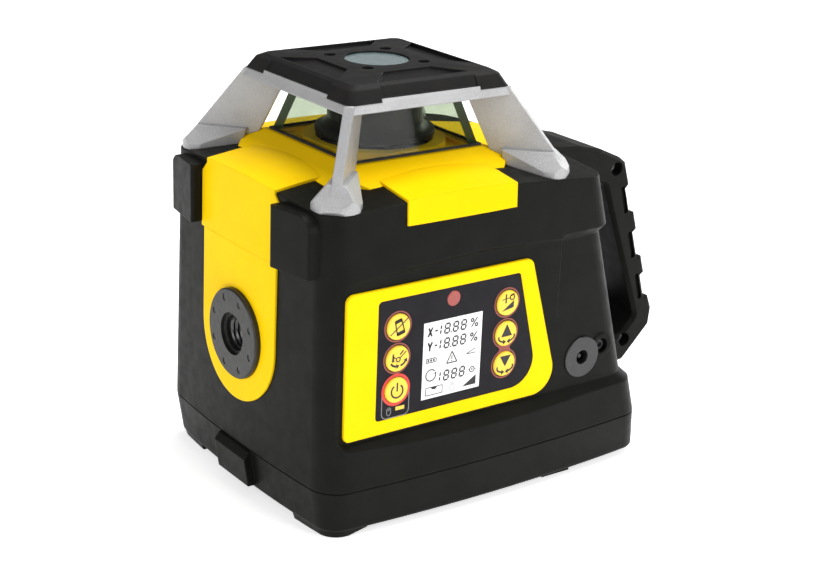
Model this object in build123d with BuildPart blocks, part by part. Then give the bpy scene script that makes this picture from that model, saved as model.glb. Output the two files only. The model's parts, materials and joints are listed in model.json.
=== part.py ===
from build123d import *
import os
from math import radians, sqrt, tan

# Self-levelling rotary laser level. Origin on the rotor axis, in the plane of the feet, +Z up.
# The control panel faces -Y, the side tripod mount faces -X and the handle reaches out to +X.
os.makedirs("parts", exist_ok=True)

# ---- driving dimensions (mm) ----
part_line_z = 24.0          # where the base meets the main housing
body_top_z = 155.0          # height that the body's upper outline is given at
base_floor_z = 3.0          # underside of the base between its feet
wall = 2.5                  # moulded wall
waist = 2.9                 # depth of the waist between the panel and the handle
waist_low_z = 46.0
waist_high_z = 121.0
cone_top_z = 165.0          # tip of the shallow cone that caps the housing
cone_slope = tan(radians(8.3))
cover_proud = 0.9           # the yellow mouldings stand this far out of the housing
cover_wall = 2.4
lobe_half = 30.0            # half width of the cover's four lobes
flap_half = 35.0            # half width of the side flap between the bumpers
strip_half = 32.3           # half width of the lower side strip
strip_top_z = 121.0         # seam between the side flap and the side strip
tab_z = 143.5               # lower edge of the other three tabs
mount_z = 78.5              # height of the side mount's axis
thread_r = 6.8              # minor radius of a 5/8"-11 thread
flange_r = 21.5             # side mount flange
flange_x = -76.6
bumper_low_z = 122.4
bumper_high_z = 150.6
flange_seat_x = -72.6
seat_z = 163.0              # seat of the glass
seat_half = 38.0
glass_half = 34.8           # half side of the glass box at its seat
glass_lean = tan(radians(16.7))
glass_thick = 3.0
cage_z = 188.3              # underside of the cage's top frame
cap_z = 192.0               # lower rim of the cap
rotor_r = 22.4
rotor_ring_r = 28.2
rotor_z = 166.3             # underside of the drum
rotor_top_z = 184.0
spindle_r = 8.0
pivot_z = 150.0             # height of both gimbal axes
pivot_r = 2.0
ring_in = 30.0              # gimbal ring
ring_out = 35.0
motor_x = -20.5             # drive motor beside the spindle
pulley_z = 157.4
rotor_pulley_r = 13.0
motor_pulley_r = 4.0
stud_r = 2.0                # stud under the carrier that the levelling forks move
fork_x_z = 93.5             # middle height of the fork that moves along X
fork_y_z = 87.5
panel_y = -72.0             # face of the control panel
recess_y = -70.2            # floor of the recess it sits in
board_y = -66.2             # face of the keypad board
inner_front_y = -67.7       # inner face of the front wall behind the recess
key_columns = (-33.8, 27.4)
key_rows = (97.9, 82.8, 67.7)
key_r = 6.1
display = (-3.0, 77.75, 33.0, 37.3)     # middle x, middle z, width, height
indicator = (-3.4, 105.6, 3.8)          # x, z, radius
socket_at = (77.0, 60.3)
body_screw_at = (90.0, 63.3)
handle_half = 21.25
handle_screws_at = ((136.5, 134.1), (151.5, 37.5))
door = (67.0, 74.0, 84.0)               # battery door: middle x, length, width
lock_x = 96.0
gap = 0.1                   # running gap round buttons and turning parts


def save(piece, name):
    piece.part.label = name
    export_step(piece.part, f"parts/{name}.step")


# ---- shared forms ----
def body_outline(z, out, inset=0.0):
    """The body's outer skin at height z, moved outwards by out. Its four sides are bowed.

    inset narrows every side but the mount's, for the waist beside the panel.
    """
    up = (z - part_line_z) / (body_top_z - part_line_z)
    left, left_mid = -70.2 + 1.2 * up - out, -74.0 + 1.9 * up - out
    right, right_mid = 118.6 - 32.6 * up + out - inset, 120.2 - 32.6 * up + out - inset
    half_left = 73.4 - 5.0 * up + out - inset
    half_mid = 77.2 - 6.6 * up + out - inset
    half_right = 72.4 - 4.8 * up + out - inset
    with BuildSketch(Plane.XY.offset(z)) as outline:
        with BuildLine():
            ThreePointArc((left, -half_left), (10, -half_mid), (right, -half_right))
            ThreePointArc((right, -half_right), (right_mid, 0), (right, half_right))
            ThreePointArc((right, half_right), (10, half_mid), (left, half_left))
            ThreePointArc((left, half_left), (left_mid, 0), (left, -half_left))
        make_face()
        fillet(outline.vertices(), 14.0 - 2.0 * up + out)
    return outline.sketch


def body_block(out, bottom, top, bottom_out=None, inset=0.0, bottom_inset=None):
    """Solid between two heights inside the body's skin moved outwards by out."""
    with BuildPart() as block:
        low_out = out if bottom_out is None else bottom_out
        add(body_outline(bottom, low_out, inset if bottom_inset is None else bottom_inset))
        add(body_outline(top, out, inset))
        loft(ruled=True)
    return block.part


def cone_cap(lift):
    """Everything under the shallow cone that caps the body, raised by lift."""
    reach = 220.0
    with BuildPart() as cone:
        with BuildSketch(Plane.XZ):
            Polygon(
                (0, 0),
                (reach, 0),
                (reach, cone_top_z + lift - reach * cone_slope),
                (0, cone_top_z + lift),
                align=None,
            )
        revolve(axis=Axis.Z)
    return cone.part


def frustum(low_half, low_z, high_half, high_z, corner=0.5):
    """Square block whose sides lean from one half width to another."""
    with BuildPart() as block:
        for half, z in ((low_half, low_z), (high_half, high_z)):
            with BuildSketch(Plane.XY.offset(z)):
                RectangleRounded(2 * half, 2 * half, corner)
        loft(ruled=True)
    return block.part


def tube(outer, inner, bottom, top, x=0.0, y=0.0):
    """Upright tube, or a rod where inner is 0."""
    with BuildPart() as piece:
        with BuildSketch(Plane.XY.offset(bottom)):
            with Locations((x, y)):
                Circle(outer)
                if inner:
                    Circle(inner, mode=Mode.SUBTRACT)
        extrude(amount=top - bottom)
    return piece.part


def rod_x(radius, start, end, y, z):
    """Rod along X."""
    with BuildPart() as piece:
        with BuildSketch(Plane.YZ.offset(start)):
            with Locations((y, z)):
                Circle(radius)
        extrude(amount=end - start)
    return piece.part


def rod_y(radius, start, end, x, z):
    """Rod along Y."""
    with BuildPart() as piece:
        with BuildSketch(Plane.XZ.offset(-end)):
            with Locations((x, z)):
                Circle(radius)
        extrude(amount=end - start)
    return piece.part


def block(x0, x1, y0, y1, z0, z1):
    """Box between six coordinates."""
    with BuildPart() as piece:
        with BuildSketch(Plane.XY.offset(z0)):
            with Locations(((x0 + x1) / 2, (y0 + y1) / 2)):
                Rectangle(x1 - x0, y1 - y0)
        extrude(amount=z1 - z0)
    return piece.part


def front_plate(points, radii, face_y, back_y):
    """Upright plate facing -Y with its own corner radii, one for each point (x, z)."""
    with BuildPart() as plate:
        with BuildSketch(Plane.XZ.offset(-back_y)) as outline:
            Polygon(*points, align=None)
            for point, radius in zip(points, radii):
                corner = outline.vertices().sort_by_distance(Vector(*point))[0]
                fillet(corner, radius)
        extrude(amount=back_y - face_y)
    return plate.part


# ---- yellow cover: a square hood with a lobe over each side of the body ----
def cover_form(grow, out):
    """Filled form of the cover; grow and out are negative for the hollow under its wall."""
    side_points = (
        (-flap_half - grow, strip_top_z),
        (flap_half + grow, strip_top_z),
        (flap_half + grow, 147.5),
        (lobe_half + grow, 152.5),
        (-lobe_half - grow, 152.5),
        (-flap_half - grow, 147.5),
    )
    with BuildPart() as form:
        with BuildSketch(Plane.XY.offset(tab_z)):
            Rectangle(164, 2 * (lobe_half + grow))
            Rectangle(2 * (lobe_half + grow), 190)
        extrude(amount=40)
        with BuildSketch(Plane.YZ.offset(-90)):
            Polygon(*side_points, align=None)
        extrude(amount=40)
        add(cone_cap(1.2 + grow), mode=Mode.INTERSECT)
        hood = frustum(51.7 + grow, 150, 51.7 + grow, 156.2 + grow)
        hood += frustum(51.7 + grow, 156.2 + grow, seat_half + grow, seat_z + grow)
        corner_cut = 63 + grow
        add(hood & block(-corner_cut, corner_cut, -corner_cut, corner_cut, 140, 170).rotate(Axis.Z, 45))
        add(body_block(out, 100, 170), mode=Mode.INTERSECT)
    return form.part


glass_inner_half = glass_half - glass_thick * sqrt(1 + glass_lean**2)
cover_outside = cover_form(0, cover_proud)
with BuildPart() as top_cover:
    add(cover_outside)
    # floor inside the glass, then the hollow underneath, then the collar round the rotor
    add(block(-31, 31, -31, 31, 161, 170), mode=Mode.SUBTRACT)
    add(cover_form(-cover_wall, cover_proud - cover_wall), mode=Mode.SUBTRACT)
    add(block(-35, 35, -35, 35, 158.6, 161))
    add(tube(33.5, 0, 160, 164) & block(-31, 31, -31, 31, 160, 164))
    add(tube(27.5, 0, 150, 170), mode=Mode.SUBTRACT)
    add(body_block(-1.5, 100, 170) & block(-60, 60, -60, 60, 100, 150), mode=Mode.SUBTRACT)
save(top_cover, "top_cover")

# ---- main housing ----
waist_form = block(60, 150, -90, -26, waist_low_z - 4.2, waist_high_z + 4.2)
waist_form -= body_block(0, waist_low_z - 4.2, waist_low_z, inset=waist, bottom_inset=-0.2)
waist_form -= body_block(0, waist_low_z, waist_high_z, inset=waist)
waist_form -= body_block(0, waist_high_z, waist_high_z + 4.2, inset=-0.2, bottom_inset=waist)
with BuildPart() as cavity:
    add(body_block(-wall, part_line_z, 170))
    add(cone_cap(-wall), mode=Mode.INTERSECT)
    add(block(-90, 140, -90, inner_front_y, 36, 132), mode=Mode.SUBTRACT)
    # the wall follows the waist
    add(block(56, 150, -90, -22, 38, 129) - body_block(-wall, 38, 129, inset=waist), mode=Mode.SUBTRACT)

with BuildPart() as bumper:
    with BuildSketch(Plane.XY.offset(bumper_low_z)) as bumper_plan:
        Polygon((-60, 34.6), (-78.2, 34.6), (-74.0, 61.5), (-60, 61.5), align=None)
        fillet(bumper_plan.vertices().sort_by(Axis.X)[0:2], 1.6)
    extrude(amount=bumper_high_z - bumper_low_z)
    with BuildSketch(Plane.YZ.offset(-85)) as bumper_face:
        with Locations((48, (bumper_low_z + bumper_high_z) / 2)):
            Rectangle(27.4, bumper_high_z - bumper_low_z)
        fillet(bumper_face.vertices().group_by(Axis.Y)[-1].sort_by(Axis.X)[-1], 9)
        fillet(bumper_face.vertices().group_by(Axis.Y)[0], 2)
    extrude(amount=40, mode=Mode.INTERSECT)

with BuildPart() as recess_form:
    with BuildSketch(Plane.XZ.offset(-recess_y)) as recess:
        Polygon((-64, 46), (150, 46), (150, 121), (90, 121.5), (10, 124.5), (-64, 120.5), align=None)
        fillet(recess.vertices().sort_by(Axis.X)[0:2], 7)
    extrude(amount=12, taper=-42)

with BuildPart() as main_housing:
    add(body_block(0, part_line_z, 170))
    add(cone_cap(0), mode=Mode.INTERSECT)
    add(bumper.part)
    add(bumper.part.mirror(Plane.XZ))
    add(cavity.part, mode=Mode.SUBTRACT)
    # recess for the control panel, which goes on round the corner beside the handle
    add(recess_form.part, mode=Mode.SUBTRACT)
    add(waist_form, mode=Mode.SUBTRACT)
    # opening behind the keys, the display and the indicator
    add(block(-41.8, 35.2, -75, -60, 57, 110), mode=Mode.SUBTRACT)
    # bosses of the side mount, the body screws and the inner frame
    add(rod_x(20, -71.5, -68.5, 0, mount_z))
    add(rod_x(14, -71.5, -60, 0, mount_z))
    add(rod_x(11, -80, -50, 0, mount_z), mode=Mode.SUBTRACT)
    add(rod_x(flange_r, -80, flange_seat_x, 0, mount_z), mode=Mode.SUBTRACT)
    for side in (-1, 1):
        near, far = sorted((side * 52, side * 70.1))
        add(rod_y(6.2, near, far, *body_screw_at))
        near, far = sorted((side * 66.2, side * 80))
        add(rod_y(3.8, near, far, *body_screw_at), mode=Mode.SUBTRACT)
        near, far = sorted((side * 50, side * 70))
        add(rod_y(1.7, near, far, *body_screw_at), mode=Mode.SUBTRACT)
        for end in (-1, 1):
            add(tube(5.5, 0, 138, 152.2, end * 50, side * 50))
            add(tube(1.5, 0, 130, 150, end * 50, side * 50), mode=Mode.SUBTRACT)
    add(rod_y(5.0, -80, -50, *socket_at), mode=Mode.SUBTRACT)
    # room for the yellow mouldings
    add(cover_outside, mode=Mode.SUBTRACT)

# side strip, round at its lower end and centred on the mount
with BuildPart() as strip_form:
    with BuildSketch(Plane.YZ.offset(-90)):
        with Locations((0, (mount_z + strip_top_z) / 2)):
            Rectangle(2 * strip_half, strip_top_z - mount_z)
        with Locations((0, mount_z)):
            Circle(strip_half)
    extrude(amount=40)
with BuildPart() as side_strip:
    add(body_block(cover_proud, part_line_z, 170))
    add(strip_form.part, mode=Mode.INTERSECT)
    add(body_block(cover_proud - cover_wall, part_line_z, 170), mode=Mode.SUBTRACT)
    add(rod_x(flange_r, -90, -60, 0, mount_z), mode=Mode.SUBTRACT)
save(side_strip, "side_strip")
with BuildPart() as housing_finished:
    add(main_housing.part)
    add(side_strip.part, mode=Mode.SUBTRACT)
save(housing_finished, "main_housing")

# ---- side mount ----
with BuildPart() as side_mount_flange:
    add(rod_x(flange_r, flange_x, flange_seat_x, 0, mount_z))
    chamfer(side_mount_flange.edges().filter_by(GeomType.CIRCLE).sort_by(Axis.X)[0], 0.7)
    with BuildSketch(Plane.YZ.offset(flange_x)):
        with Locations((0, mount_z)):
            Circle(10.1)
    extrude(amount=2.0, mode=Mode.SUBTRACT)
    add(rod_x(8.6, flange_x, flange_seat_x, 0, mount_z), mode=Mode.SUBTRACT)
    with BuildSketch(Plane.YZ.offset(flange_x)):
        with Locations((0, mount_z)):
            with PolarLocations(17.2, 8, start_angle=22.5):
                Circle(1.6)
    extrude(amount=1.4, mode=Mode.SUBTRACT)
    with BuildSketch(Plane.YZ.offset(flange_x)):
        with Locations((0, mount_z)):
            with PolarLocations(17.2, 8, start_angle=22.5):
                Circle(0.8)
    extrude(amount=10, mode=Mode.SUBTRACT)
save(side_mount_flange, "side_mount_flange")

with BuildPart() as side_mount_screws:
    with BuildSketch(Plane.YZ.offset(flange_x + 0.3)):
        with Locations((0, mount_z)):
            with PolarLocations(17.2, 8, start_angle=22.5):
                Circle(1.6)
    extrude(amount=1.1)
    with BuildSketch(Plane.YZ.offset(flange_x + 1.3)):
        with Locations((0, mount_z)):
            with PolarLocations(17.2, 8, start_angle=22.5):
                Circle(0.8)
    extrude(amount=flange_seat_x - flange_x - 1.3)
save(side_mount_screws, "side_mount_screws")

with BuildPart() as side_thread_insert:
    add(rod_x(11, flange_seat_x, -57, 0, mount_z))
    add(rod_x(thread_r, -80, -50, 0, mount_z), mode=Mode.SUBTRACT)
save(side_thread_insert, "side_thread_insert")

# ---- base ----
# small chamfer along its upper edge, which leaves a fine groove at the parting line
lower_chamfer = block(-200, 200, -200, 200, part_line_z - 1.0, part_line_z + 1)
lower_chamfer -= body_block(-2.0, part_line_z - 1.0, part_line_z + 1, bottom_out=0)
foot_form = body_block(-3.0, 0, 6, bottom_out=-5.0)
with BuildPart() as corner_foot:
    # sloped ends: narrow where it stands, wider where it leaves the floor of the base
    for low, high in ((0, base_floor_z), (base_floor_z, 6)):
        for z in (low, high):
            grow = 3.0 * min(z, base_floor_z)
            with BuildSketch(Plane.XY.offset(z)):
                with Locations((-73 + grow / 2, 0)):
                    Rectangle(34 + grow, 200)
        loft(ruled=True)
with BuildPart() as base_housing:
    add(body_block(0, base_floor_z, part_line_z, bottom_out=-3.4))
    fillet(base_housing.faces().sort_by(Axis.Z)[0].edges(), 2.0)
    # two feet in the corners at the mount end, two small ones further in at the handle end
    for side in (-1, 1):
        near, far = sorted((side * 43, side * 90))
        add(foot_form & corner_foot.part & block(-90, -10, near, far, 0, 6))
        near, far = sorted((side * 54, side * 69.5))
        add(block(58, 75, near, far, 0, base_floor_z + 2))
    # low pad in the middle of the mount end, with a sloped upper edge
    with BuildSketch(Plane.XZ.offset(-15)):
        Polygon((-69, 23.4), (-74.6, 23.4), (-77.4, 19.4), (-75.0, 5.2), (-69, 5.2), align=None)
    extrude(amount=28)
    add(body_block(-wall, 8.0, 40, bottom_out=-5.5), mode=Mode.SUBTRACT)
    # ribs behind the battery contacts
    for side in (-1, 1):
        near, far = sorted((side * 52, side * 54))
        add(block(30, 86, near, far, 7.5, 22))
        add(block(74.4, 75.8, *sorted((side * 74.8, side * 90)), 0, 13.5), mode=Mode.SUBTRACT)
    middle, length, width = door
    add(block(middle - length / 2, middle + length / 2, -width / 2, width / 2, 0, 20), mode=Mode.SUBTRACT)
    add(tube(12, 0, 0, 20), mode=Mode.SUBTRACT)
    # seat of the seal
    add(body_block(-1.2, 23.0, 24.5) - body_block(-2.2, 22.0, 25), mode=Mode.SUBTRACT)
    add(lower_chamfer, mode=Mode.SUBTRACT)
save(base_housing, "base_housing")

with BuildPart() as base_gasket:
    add(body_block(-1.2, 23.0, part_line_z))
    add(body_block(-2.2, 22.0, 25), mode=Mode.SUBTRACT)
save(base_gasket, "base_gasket")

with BuildPart() as bottom_mount:
    add(tube(24, 0, 0, base_floor_z))
    add(tube(12, 0, base_floor_z, 18))
    add(tube(thread_r, 0, -1, 20), mode=Mode.SUBTRACT)
save(bottom_mount, "bottom_thread_mount")

with BuildPart() as battery_door:
    add(block(middle - length / 2, middle + length / 2, -width / 2, width / 2, base_floor_z, 8.0))
    # hinge tabs over the base's floor, finger grooves and a moulded rib on the outside
    for side in (-1, 1):
        near, far = sorted((side * 12, side * 20))
        add(block(middle - length / 2 - 2, middle - length / 2 + 4, near, far, 8.0, 9.2))
    for x in (lock_x - 16, lock_x - 13, lock_x - 10):
        add(block(x, x + 1.4, -16, 16, 0, base_floor_z + 0.8), mode=Mode.SUBTRACT)
    add(tube(6 + gap, 0, 0, 20, lock_x), mode=Mode.SUBTRACT)
save(battery_door, "battery_door")

with BuildPart() as battery_lock:
    add(tube(6, 0, base_floor_z - 0.4, 8.2, lock_x))
    add(block(lock_x - 3, lock_x + 12, -3, 3, 8.2, 9.8))
    add(block(lock_x - 4.5, lock_x + 4.5, -0.9, 0.9, 0, base_floor_z + 0.8), mode=Mode.SUBTRACT)
save(battery_lock, "battery_lock")

cell_r = 13.0
cell_z = 8.1 + cell_r
with BuildPart() as battery_cells:
    for x in (45, 72):
        for side in (-1, 1):
            near, far = sorted((side * 1.5, side * 49.5))
            add(rod_y(cell_r, near, far, x, cell_z))
            tip = side * 50.5
            add(rod_y(3.0, *sorted((side * 49.0, tip)), x, cell_z))
save(battery_cells, "battery_cells")

with BuildPart() as battery_contacts:
    for side in (-1, 1):
        for x in (45, 72):
            add(block(x - 9, x + 9, *sorted((side * 51.0, side * 51.9)), 10, 28))
            add(rod_y(2.6, *sorted((side * 50.5, side * 51.2)), x, cell_z))
save(battery_contacts, "battery_contacts")

with BuildPart() as base_screws:
    for x, y in ((-55, 55), (-55, -55), (67, 60), (67, -60)):
        add(tube(2.8, 0, 8.0, 10.2, x, y))
        add(tube(1.4, 0, 10.2, 22, x, y))
save(base_screws, "base_screws")

# ---- control panel ----
frame_points = ((-61, 47.4), (61.8, 47.4), (41.5, 117.0), (-61, 116.6))
membrane_points = ((-44.6, 54.2), (48.6, 54.2), (34.4, 111.4), (-44.6, 111.2))
membrane = front_plate(membrane_points, (2, 13, 2, 2), panel_y + 0.2, recess_y)
lcd_x, lcd_z, lcd_width, lcd_height = display

with BuildPart() as panel_frame:
    add(front_plate(frame_points, (3, 12, 4, 4), panel_y, recess_y))
    fillet(panel_frame.faces().sort_by(Axis.Y)[0].edges(), 0.6)
    add(front_plate(membrane_points, (2, 13, 2, 2), -80, -60), mode=Mode.SUBTRACT)
save(panel_frame, "panel_frame")

lcd_opening = block(
    lcd_x - lcd_width / 2, lcd_x + lcd_width / 2, -80, -60, lcd_z - lcd_height / 2, lcd_z + lcd_height / 2
)
with BuildPart() as panel_membrane:
    add(membrane)
    add(lcd_opening, mode=Mode.SUBTRACT)
    add(rod_y(indicator[2], -80, -60, indicator[0], indicator[1]), mode=Mode.SUBTRACT)
    for x in key_columns:
        for z in key_rows:
            add(rod_y(key_r + gap, -80, -60, x, z), mode=Mode.SUBTRACT)
save(panel_membrane, "panel_membrane")

with BuildPart() as lcd_window:
    add(lcd_opening & block(-40, 40, panel_y + 0.3, recess_y, 40, 120))
save(lcd_window, "lcd_window")

with BuildPart() as lcd_module:
    add(block(lcd_x - 18, lcd_x + 18, recess_y + 2.2, board_y, lcd_z - 20, lcd_z + 20))
    add(block(lcd_x - 16.5, lcd_x + 16.5, recess_y + 0.2, board_y, lcd_z - 18.6, lcd_z + 18.6))
save(lcd_module, "lcd_module")

with BuildPart() as indicator_lens:
    add(rod_y(indicator[2], panel_y + 0.1, recess_y, indicator[0], indicator[1]))
    fillet(indicator_lens.edges().filter_by(GeomType.CIRCLE).sort_by(Axis.Y)[0], 0.6)
save(indicator_lens, "indicator_lens")

with BuildPart() as keypad_board:
    add(block(-44, 44, board_y, board_y + 1.6, 52, 112))
    add(block(-12, 8, board_y + 1.6, board_y + 4.6, 54, 60))
    add(block(-26, -16, board_y + 1.6, board_y + 3.0, 80, 90))
    for x in (-41.5, 41.5):
        for z in (54.5, 109.5):
            add(rod_y(1.3, board_y - 1, board_y + 3, x, z), mode=Mode.SUBTRACT)
save(keypad_board, "keypad_board")

key_names = ("key_shock", "key_scan", "key_power", "key_slope", "key_up", "key_down")
key_places = [(x, z) for x in key_columns for z in key_rows]
for name, (x, z) in zip(key_names, key_places):
    with BuildPart() as key:
        add(rod_y(key_r, panel_y - 0.9, recess_y + 0.2, x, z))
        fillet(key.edges().filter_by(GeomType.CIRCLE).sort_by(Axis.Y)[0], 0.8)
        add(rod_y(key_r + 0.9, recess_y + 0.1, recess_y + 1.1, x, z))
        add(rod_y(1.6, recess_y + 1.0, board_y - 0.6, x, z))
    save(key, name)

# ---- charging socket and body screws ----
with BuildPart() as socket_bezel:
    add(rod_y(10.4, recess_y - 0.8, recess_y, *socket_at))
    fillet(socket_bezel.edges().filter_by(GeomType.CIRCLE).sort_by(Axis.Y)[0], 0.5)
    add(rod_y(3.6, -80, -60, *socket_at), mode=Mode.SUBTRACT)
save(socket_bezel, "socket_bezel")

with BuildPart() as charging_socket:
    add(rod_y(5.0, recess_y, -58, *socket_at))
    add(rod_y(3.6, recess_y - 1, -60, *socket_at), mode=Mode.SUBTRACT)
    add(rod_y(1.0, recess_y + 1.2, -59, *socket_at))
save(charging_socket, "charging_socket")

with BuildPart() as body_screws:
    for side in (-1, 1):
        add(rod_y(3.4, *sorted((side * 68.2, side * 66.2)), *body_screw_at))
        add(rod_y(1.7, *sorted((side * 66.3, side * 54)), *body_screw_at))
        add(rod_y(1.4, *sorted((side * 69, side * 67.2)), *body_screw_at), mode=Mode.SUBTRACT)
save(body_screws, "body_screws")

# ---- handle ----
slot_points = ((60, 131), (60, 38), (120, 38), (149, 41), (158, 50), (129.5, 127), (110, 130.5))
arm_points = (
    (60, 149.5),
    (98, 150.2),
    (112, 149.0),
    (126, 145.6),
    (139.0, 139.8),
    (143.4, 136.6),
    (147.4, 124.0),
    (145.3, 122.0),
    (149.0, 109.5),
    (152.4, 108.5),
    (155.3, 98.8),
    (153.0, 97.0),
    (156.9, 84.0),
    (160.3, 83.0),
    (163.2, 73.5),
    (160.9, 71.8),
    (164.2, 60.5),
    (167.6, 59.4),
    (170.6, 52.0),
    (169.7, 43.0),
    (152.4, 25.6),
    (141, 24.4),
    (60, 24.4),
)
body_plain = body_block(0, part_line_z, 170)


def handle_side(side):
    """One clamshell half of the handle, hollow behind its skin, with its screw holes."""
    near, far = sorted((0, side * handle_half))
    with BuildPart() as half:
        with BuildSketch(Plane.XZ.offset(-far)):
            Polygon(*arm_points, align=None)
        extrude(amount=far - near)
        with BuildSketch(Plane.XZ.offset(-far)) as slot:
            Polygon(*slot_points, align=None)
            fillet(slot.vertices().sort_by(Axis.X)[-4:], 4)
        extrude(amount=far - near, mode=Mode.SUBTRACT)
        outside = half.faces().sort_by(Axis.Y)[0 if side < 0 else -1]
        chamfer(outside.edges(), 2.0)
        for x, z in handle_screws_at:
            add(rod_y(3.6, *sorted((side * 14.5, side * 30)), x, z), mode=Mode.SUBTRACT)
            add(rod_y(1.75, *sorted((side * -1, side * 20)), x, z), mode=Mode.SUBTRACT)
        # long groove beside each finger recess
        for x, z in ((143.5, 116.5), (150.9, 91.0), (158.3, 66.6)):
            groove = block(x - 1.3, x + 1.3, *sorted((side * 19.4, side * 30)), z - 7.6, z + 7.6)
            add(groove.rotate(Axis((x, 0, z), (0, 1, 0)), -15.8), mode=Mode.SUBTRACT)
        # hollow of the grip
        with BuildSketch(Plane.XZ):
            Polygon((136.5, 120), (141, 120), (160.5, 60), (156.5, 60), align=None)
        extrude(amount=-side * 17, mode=Mode.SUBTRACT)
        add(body_plain, mode=Mode.SUBTRACT)
        add(cover_outside, mode=Mode.SUBTRACT)
    return half


handle_front = handle_side(-1)
save(handle_front, "handle_front_half")
handle_back = handle_side(1)
save(handle_back, "handle_back_half")

with BuildPart() as handle_screws:
    for side in (-1, 1):
        for x, z in handle_screws_at:
            add(rod_y(3.2, *sorted((side * 16.7, side * 14.5)), x, z))
            add(rod_y(1.75, *sorted((side * 14.6, side * 0.5)), x, z))
            add(rod_y(1.3, *sorted((side * 18, side * 15.6)), x, z), mode=Mode.SUBTRACT)
save(handle_screws, "handle_screws")

# ---- glass, cage and cap ----
glass_top_half = glass_half - glass_lean * (cage_z - seat_z)
with BuildPart() as glass_panes:
    add(frustum(glass_half, seat_z, glass_top_half, cage_z, corner=0.4))
    add(
        frustum(glass_inner_half, seat_z, glass_inner_half + glass_top_half - glass_half, cage_z, corner=0.4),
        mode=Mode.SUBTRACT,
    )
    for turn in (45, 135):
        with BuildSketch(Plane.XY.offset(seat_z)):
            Rectangle(140, 0.12, rotation=turn)
        extrude(amount=40, mode=Mode.SUBTRACT)
save(glass_panes, "glass_panes")

# one fin in the XZ plane, with a toe that widens outwards; the four stand on the diagonals
tip_points = ((88.6, 158.5), (91.8, 155.2), (92.4, 153.2), (91.6, 152.3), (91.2, 150.8), (63.2, 150.8))
fin_points = ((42.0, 190.0), (62.6, 191.6), *tip_points, (54.6, 162.6), (44.6, 183.5))
toe_points = ((60.8, 163.0), (84.8, 163.0), *tip_points)
toe_round = 13.0            # the toe's outer end follows the body's rounded corner
with BuildPart() as toe:
    with BuildSketch(Plane.XZ.offset(-12)):
        Polygon(*toe_points, align=None)
    extrude(amount=24)
    with BuildSketch(Plane.XY.offset(140)) as toe_plan:
        Polygon((54, -2.3), (82, -11), (96, -11), (96, 11), (82, 11), (54, 2.3), align=None)
    extrude(amount=30, mode=Mode.INTERSECT)
    # flares downwards, with rounded lower corners
    with BuildSketch(Plane.YZ.offset(50)) as toe_front:
        Polygon((-2.6, 165), (-10.8, 155.4), (-11, 149.9), (11, 149.9), (10.8, 155.4), (2.6, 165), align=None)
    extrude(amount=50, mode=Mode.INTERSECT)
    rounding = block(40, 92.6 - toe_round, -12, 12, 140, 170) + tube(toe_round, 0, 140, 170, 92.6 - toe_round)
    add(rounding, mode=Mode.INTERSECT)
with BuildPart() as fin:
    with BuildSketch(Plane.XZ.offset(-2.3)):
        Polygon(*fin_points, align=None)
    extrude(amount=4.6)
    add(toe.part)

with BuildPart() as cage:
    add(frustum(46.4, cage_z, 44.6, cap_z, corner=3))
    for turn in (45, 135, 225, 315):
        add(fin.part.rotate(Axis.Z, turn))
    # the feet rest on the housing's corner shelves and clear the yellow cover
    add(body_block(0.05, 140, 170) & cone_cap(0.05), mode=Mode.SUBTRACT)
    add(cover_form(0.05, cover_proud + 0.05), mode=Mode.SUBTRACT)
    # tongues that fill the cap's side notches
    tongues = frustum(44.6, cap_z, 44.2, cap_z + 1.5, corner=3) - block(-41.9, 41.9, -41.9, 41.9, 190, 200)
    add(tongues & block(-50, 50, -27, 27, 190, 200))
    add(tongues & block(-27, 27, -50, 50, 190, 200))
    add(tube(19, 0, 180, 200), mode=Mode.SUBTRACT)
    for x in (-15.6, 15.6):
        for y in (-15.6, 15.6):
            add(tube(1.4, 0, 180, 200, x, y), mode=Mode.SUBTRACT)
save(cage, "cage")

with BuildPart() as pocket:
    with BuildSketch(Plane.XY.offset(197)):
        Polygon((24.5, -13), (37.5, -25), (37.5, 25), (24.5, 13), align=None)
    extrude(amount=7)
pocket_form = pocket.part
# plane of the set-back side panels, 0.8 behind the cap's leaning sides
set_back = frustum(44.0, cap_z, 44.0 - 0.56 * 11, cap_z + 11, corner=4)
with BuildPart() as top_cap:
    add(frustum(44.8, cap_z, 41.6, 197.7, corner=4))
    add(frustum(41.6, 197.7, 38.4, 199.4, corner=4))
    add(frustum(38.4, 199.4, 20.0, 200.4, corner=4))
    # set-back panel and groove in each side, and the notch for the cage's tongue
    for turn in (0, 90, 180, 270):
        panel = block(30, 50, -26, 26, 193.8, 203) - set_back
        notch = block(41.9, 50, -27, 27, 190, 193.5)
        add((panel + notch).rotate(Axis.Z, turn), mode=Mode.SUBTRACT)
        floor = frustum(41.6, 197.1, 20.0, 199.4, corner=5)
        add((pocket_form - floor).rotate(Axis.Z, turn), mode=Mode.SUBTRACT)
    add(tube(15.4, 0, 198.2, 205), mode=Mode.SUBTRACT)
    add(tube(13.4, 0, 190, 205), mode=Mode.SUBTRACT)
    for x in (-15.6, 15.6):
        for y in (-15.6, 15.6):
            add(tube(2.9, 0, 197.6, 205, x, y), mode=Mode.SUBTRACT)
            add(tube(1.4, 0, 190, 205, x, y), mode=Mode.SUBTRACT)
save(top_cap, "top_cap")

with BuildPart() as cap_window:
    add(tube(15.4, 0, 198.2, 199.6))
    chamfer(cap_window.edges().filter_by(GeomType.CIRCLE).sort_by(Axis.Z)[-1], 0.4)
save(cap_window, "cap_window")

with BuildPart() as cap_screws:
    for x in (-15.6, 15.6):
        for y in (-15.6, 15.6):
            add(tube(2.6, 0, 197.6, 199.2, x, y))
            add(tube(1.4, 0, 189, 197.6, x, y))
            add(tube(1.1, 0, 198.3, 200, x, y), mode=Mode.SUBTRACT)
save(cap_screws, "cap_screws")

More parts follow.
